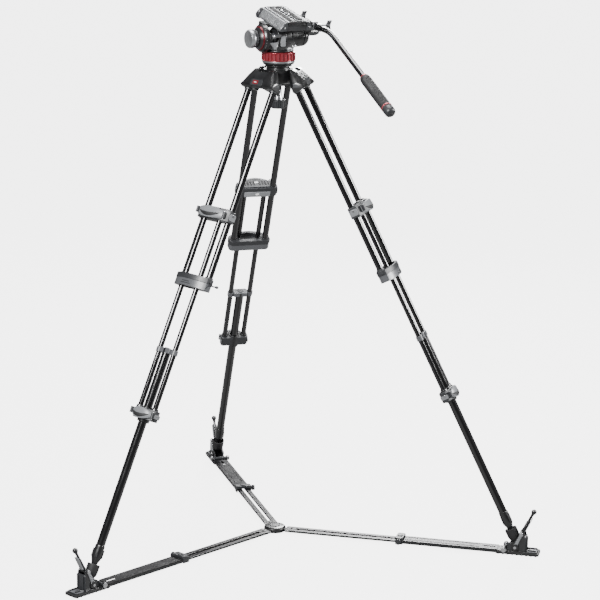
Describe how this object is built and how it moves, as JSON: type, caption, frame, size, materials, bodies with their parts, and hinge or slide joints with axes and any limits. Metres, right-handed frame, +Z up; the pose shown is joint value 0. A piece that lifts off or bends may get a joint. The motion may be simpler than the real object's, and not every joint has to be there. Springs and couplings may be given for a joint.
{
  "type": "video tripod",
  "caption": "Twin tube video tripod with a fluid head and pan bar on a levelling half ball, standing on a telescopic ground spreader.",
  "frame": {"origin": "on the floor, under the bowl's axis, at the foot of the spreader hub", "axes": "+Z up along the bowl's axis, +Y towards the front leg"},
  "size_m": [1.489, 1.2895, 1.6534],
  "materials": {
    "black_anodised_tube": "black anodised, satin",
    "black_painted_casting": "black, satin powder paint",
    "dark_moulded_plastic": "dark grey, fine grained",
    "grey_lever_plastic": "mid grey, smooth",
    "red_anodised_ring": "red anodised, bright",
    "satin_silver_plate": "natural, satin",
    "black_rubber": "black, ribbed"
  },
  "bodies": {
    "crown": {"crown": "black_painted_casting"},
    "leg_front": {"leg_front_shoulder": "black_painted_casting", "leg_front_upper_tube_a": "black_anodised_tube", "leg_front_upper_tube_b": "black_anodised_tube", "leg_front_band": "dark_moulded_plastic"},
    "leg_front_mid": {"leg_front_collar": "dark_moulded_plastic", "leg_front_middle_tube_a": "black_anodised_tube", "leg_front_middle_tube_b": "black_anodised_tube", "leg_front_clamp": "dark_moulded_plastic"},
    "leg_front_low": {"leg_front_lower_tube": "black_anodised_tube"},
    "leg_front_upper_clamp_lever": {"leg_front_upper_lever": "grey_lever_plastic"},
    "leg_front_lower_clamp_lever": {"leg_front_lower_lever": "grey_lever_plastic"},
    "leg_right": {"leg_right_shoulder": "black_painted_casting", "leg_right_upper_tube_a": "black_anodised_tube", "leg_right_upper_tube_b": "black_anodised_tube", "leg_right_band": "dark_moulded_plastic"},
    "leg_right_mid": {"leg_right_collar": "dark_moulded_plastic", "leg_right_middle_tube_a": "black_anodised_tube", "leg_right_middle_tube_b": "black_anodised_tube", "leg_right_clamp": "dark_moulded_plastic"},
    "leg_right_low": {"leg_right_lower_tube": "black_anodised_tube"},
    "leg_right_upper_clamp_lever": {"leg_right_upper_lever": "grey_lever_plastic"},
    "leg_right_lower_clamp_lever": {"leg_right_lower_lever": "grey_lever_plastic"},
    "leg_left": {"leg_left_shoulder": "black_painted_casting", "leg_left_upper_tube_a": "black_anodised_tube", "leg_left_upper_tube_b": "black_anodised_tube", "leg_left_band": "dark_moulded_plastic"},
    "leg_left_mid": {"leg_left_collar": "dark_moulded_plastic", "leg_left_middle_tube_a": "black_anodised_tube", "leg_left_middle_tube_b": "black_anodised_tube", "leg_left_clamp": "dark_moulded_plastic"},
    "leg_left_low": {"leg_left_lower_tube": "black_anodised_tube"},
    "leg_left_upper_clamp_lever": {"leg_left_upper_lever": "grey_lever_plastic"},
    "leg_left_lower_clamp_lever": {"leg_left_lower_lever": "grey_lever_plastic"},
    "hub": {"spreader_hub": "black_painted_casting", "spreader_front_inner_arm": "black_anodised_tube", "spreader_right_inner_arm": "black_anodised_tube", "spreader_left_inner_arm": "black_anodised_tube"},
    "arm_front": {"spreader_front_outer_arm": "black_anodised_tube"},
    "arm_front_lock": {"spreader_front_lock_knob": "dark_moulded_plastic"},
    "arm_front_clip": {"spreader_front_foot_lever": "black_rubber"},
    "arm_right": {"spreader_right_outer_arm": "black_anodised_tube"},
    "arm_right_lock": {"spreader_right_lock_knob": "dark_moulded_plastic"},
    "arm_right_clip": {"spreader_right_foot_lever": "black_rubber"},
    "arm_left": {"spreader_left_outer_arm": "black_anodised_tube"},
    "arm_left_lock": {"spreader_left_lock_knob": "dark_moulded_plastic"},
    "arm_left_clip": {"spreader_left_foot_lever": "black_rubber"},
    "levelling_ball": {"half_ball": "black_painted_casting", "head_base": "satin_silver_plate"},
    "ball_knob": {"ball_clamp_knob": "dark_moulded_plastic"},
    "drag_ring": {"pan_drag_ring": "red_anodised_ring"},
    "panning_body": {"pan_body": "black_painted_casting"},
    "tilt_lock": {"tilt_lock_lever": "dark_moulded_plastic"},
    "cradle": {"tilt_cradle": "black_painted_casting"},
    "plate": {"sliding_plate": "satin_silver_plate"},
    "drag_knob": {"tilt_drag_knob": "dark_moulded_plastic"},
    "plate_lock": {"plate_lock_knob": "dark_moulded_plastic"},
    "bar": {"pan_bar": "black_anodised_tube", "pan_bar_grip": "black_rubber"},
    "bar_knob": {"pan_bar_clamp_knob": "dark_moulded_plastic"}
  },
  "joints": [
    {"name": "leg_front_spread", "type": "hinge", "parent": "crown", "child": "leg_front", "pos_m": [0, 0.0585, 1.44342], "axis": [1, 0, 0], "range_deg": [-8, 0]},
    {"name": "leg_front_middle_slide", "type": "slide", "parent": "leg_front", "child": "leg_front_mid", "axis": [0, -0.4431, 0.8965], "range_m": [0, 0.375]},
    {"name": "leg_front_lower_slide", "type": "slide", "parent": "leg_front_mid", "child": "leg_front_low", "axis": [0, -0.4431, 0.8965], "range_m": [0, 0.38]},
    {"name": "leg_front_upper_lever_hinge", "type": "hinge", "parent": "leg_front_mid", "child": "leg_front_upper_clamp_lever", "pos_m": [-0.05416, 0.27913, 1.06389], "axis": [0, -0.4431, 0.8965], "range_deg": [0, 110]},
    {"name": "leg_front_lower_lever_hinge", "type": "hinge", "parent": "leg_front_mid", "child": "leg_front_lower_clamp_lever", "pos_m": [-0.04312, 0.55771, 0.49883], "axis": [0, -0.4431, 0.8965], "range_deg": [0, 110]},
    {"name": "leg_right_spread", "type": "hinge", "parent": "crown", "child": "leg_right", "pos_m": [0.05066, -0.02925, 1.44342], "axis": [-0.5, -0.866, 0], "range_deg": [-8, 0]},
    {"name": "leg_right_middle_slide", "type": "slide", "parent": "leg_right", "child": "leg_right_mid", "axis": [-0.3837, 0.2215, 0.8965], "range_m": [0, 0.375]},
    {"name": "leg_right_lower_slide", "type": "slide", "parent": "leg_right_mid", "child": "leg_right_low", "axis": [-0.3837, 0.2215, 0.8965], "range_m": [0, 0.38]},
    {"name": "leg_right_upper_lever_hinge", "type": "hinge", "parent": "leg_right_mid", "child": "leg_right_upper_clamp_lever", "pos_m": [0.26881, -0.09266, 1.06389], "axis": [-0.3837, 0.2215, 0.8965], "range_deg": [0, 110]},
    {"name": "leg_right_lower_lever_hinge", "type": "hinge", "parent": "leg_right_mid", "child": "leg_right_lower_clamp_lever", "pos_m": [0.50455, -0.24151, 0.49883], "axis": [-0.3837, 0.2215, 0.8965], "range_deg": [0, 110]},
    {"name": "leg_left_spread", "type": "hinge", "parent": "crown", "child": "leg_left", "pos_m": [-0.05066, -0.02925, 1.44342], "axis": [-0.5, 0.866, 0], "range_deg": [-8, 0]},
    {"name": "leg_left_middle_slide", "type": "slide", "parent": "leg_left", "child": "leg_left_mid", "axis": [0.3837, 0.2215, 0.8965], "range_m": [0, 0.375]},
    {"name": "leg_left_lower_slide", "type": "slide", "parent": "leg_left_mid", "child": "leg_left_low", "axis": [0.3837, 0.2215, 0.8965], "range_m": [0, 0.38]},
    {"name": "leg_left_upper_lever_hinge", "type": "hinge", "parent": "leg_left_mid", "child": "leg_left_upper_clamp_lever", "pos_m": [-0.21465, -0.18646, 1.06389], "axis": [0.3837, 0.2215, 0.8965], "range_deg": [0, 110]},
    {"name": "leg_left_lower_lever_hinge", "type": "hinge", "parent": "leg_left_mid", "child": "leg_left_lower_clamp_lever", "pos_m": [-0.46143, -0.31619, 0.49883], "axis": [0.3837, 0.2215, 0.8965], "range_deg": [0, 110]},
    {"name": "hub_slide", "type": "slide", "parent": "crown", "child": "hub", "axis": [0, 0, 1], "range_m": [-0.0854, 0]},
    {"name": "arm_front_slide", "type": "slide", "parent": "hub", "child": "arm_front", "axis": [0, 1, 0], "range_m": [-0.2015, 0]},
    {"name": "arm_front_lock_turn", "type": "hinge", "parent": "arm_front", "child": "arm_front_lock", "pos_m": [0.0258, 0.40612, 0.0115], "axis": [1, 0, 0], "continuous": true},
    {"name": "arm_front_clip_hinge", "type": "hinge", "parent": "arm_front", "child": "arm_front_clip", "pos_m": [0, 0.78812, 0.066], "axis": [1, 0, 0], "range_deg": [-40, 0]},
    {"name": "arm_right_slide", "type": "slide", "parent": "hub", "child": "arm_right", "axis": [0.866, -0.5, 0], "range_m": [-0.2015, 0]},
    {"name": "arm_right_lock_turn", "type": "hinge", "parent": "arm_right", "child": "arm_right_lock", "pos_m": [0.33881, -0.2254, 0.0115], "axis": [-0.5, -0.866, 0], "continuous": true},
    {"name": "arm_right_clip_hinge", "type": "hinge", "parent": "arm_right", "child": "arm_right_clip", "pos_m": [0.68253, -0.39406, 0.066], "axis": [-0.5, -0.866, 0], "range_deg": [-40, 0]},
    {"name": "arm_left_slide", "type": "slide", "parent": "hub", "child": "arm_left", "axis": [-0.866, -0.5, 0], "range_m": [-0.2015, 0]},
    {"name": "arm_left_lock_turn", "type": "hinge", "parent": "arm_left", "child": "arm_left_lock", "pos_m": [-0.36461, -0.18072, 0.0115], "axis": [-0.5, 0.866, 0], "continuous": true},
    {"name": "arm_left_clip_hinge", "type": "hinge", "parent": "arm_left", "child": "arm_left_clip", "pos_m": [-0.68253, -0.39406, 0.066], "axis": [-0.5, 0.866, 0], "range_deg": [-40, 0]},
    {"name": "ball_level", "type": "hinge", "parent": "crown", "child": "levelling_ball", "pos_m": [0, 0, 1.46742], "axis": [1, 0, 0], "range_deg": [-10, 10]},
    {"name": "ball_knob_turn", "type": "hinge", "parent": "levelling_ball", "child": "ball_knob", "pos_m": [0, 0, 1.46742], "axis": [0, 0, 1], "continuous": true},
    {"name": "pan_drag", "type": "hinge", "parent": "levelling_ball", "child": "drag_ring", "pos_m": [0, 0, 1.46942], "axis": [0, 0, 1], "range_deg": [-135, 135]},
    {"name": "pan", "type": "hinge", "parent": "levelling_ball", "child": "panning_body", "pos_m": [0, 0, 1.46942], "axis": [0, 0, 1], "continuous": true},
    {"name": "tilt_lock_hinge", "type": "hinge", "parent": "panning_body", "child": "tilt_lock", "pos_m": [-0.03307, -0.03231, 1.57242], "axis": [-0.2672, 0.9636, 0], "range_deg": [0, 40]},
    {"name": "tilt", "type": "hinge", "parent": "panning_body", "child": "cradle", "pos_m": [0, 0, 1.56442], "axis": [0.9636, 0.2672, 0], "range_deg": [-82, 28]},
    {"name": "tilt_drag", "type": "hinge", "parent": "cradle", "child": "drag_knob", "pos_m": [0, 0, 1.56442], "axis": [0.9636, 0.2672, 0], "range_deg": [-150, 150]},
    {"name": "plate_slide", "type": "slide", "parent": "cradle", "child": "plate", "axis": [-0.2599, 0.937, 0.2334], "range_m": [-0.03, 0.03]},
    {"name": "plate_lock_turn", "type": "hinge", "parent": "cradle", "child": "plate_lock", "pos_m": [0.05872, 0.05132, 1.62087], "axis": [0.9636, 0.2672, 0], "range_deg": [-60, 60]},
    {"name": "bar_hinge", "type": "hinge", "parent": "cradle", "child": "bar", "pos_m": [0.12179, 0.03347, 1.59243], "axis": [-0.9636, -0.2672, 0], "range_deg": [-20, 60]},
    {"name": "bar_knob_turn", "type": "hinge", "parent": "bar", "child": "bar_knob", "pos_m": [0.13123, 0.03609, 1.59243], "axis": [0.9636, 0.2672, 0], "continuous": true}
  ],
  "couplings": [
    {"joint": "leg_right_spread", "follows": "leg_front_spread", "ratio": 1},
    {"joint": "leg_left_spread", "follows": "leg_front_spread", "ratio": 1},
    {"joint": "hub_slide", "follows": "leg_front_spread", "m_per_rad": 0.6081},
    {"joint": "arm_front_slide", "follows": "leg_front_spread", "m_per_rad": 1.4393},
    {"joint": "arm_right_slide", "follows": "leg_front_spread", "m_per_rad": 1.4393},
    {"joint": "arm_left_slide", "follows": "leg_front_spread", "m_per_rad": 1.4393}
  ]
}
